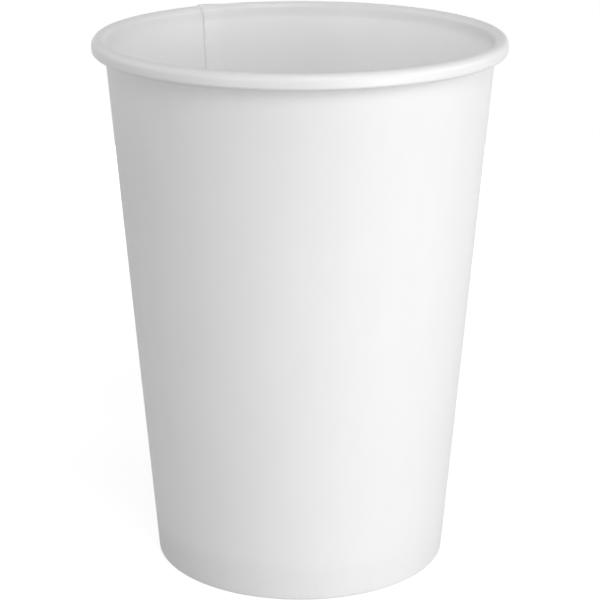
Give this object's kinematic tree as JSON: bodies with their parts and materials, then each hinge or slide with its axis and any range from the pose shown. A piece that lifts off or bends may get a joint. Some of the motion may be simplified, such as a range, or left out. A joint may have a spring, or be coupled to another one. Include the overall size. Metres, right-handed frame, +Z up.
{
  "type": "paper coffee cup",
  "caption": "Plain single-wall paper cup: tapered rolled sidewall with a curled brim and lapped side seam, and a flanged bottom gripped by the turned-in hem.",
  "frame": {"origin": "centre of the foot, on the surface that the cup stands on", "axes": "+Z up along the cup's axis; the raw edge inside the side seam is 122.7 degrees from +X, at the back as the picture shows it"},
  "size_m": [0.09, 0.09, 0.1188],
  "materials": {
    "sidewall_board": "matt outside, thin satin coating inside",
    "bottom_board": "satin coating on the drinking side"
  },
  "bodies": {
    "root": {"sidewall": "sidewall_board", "bottom_disc": "bottom_board"}
  },
  "joints": []
}
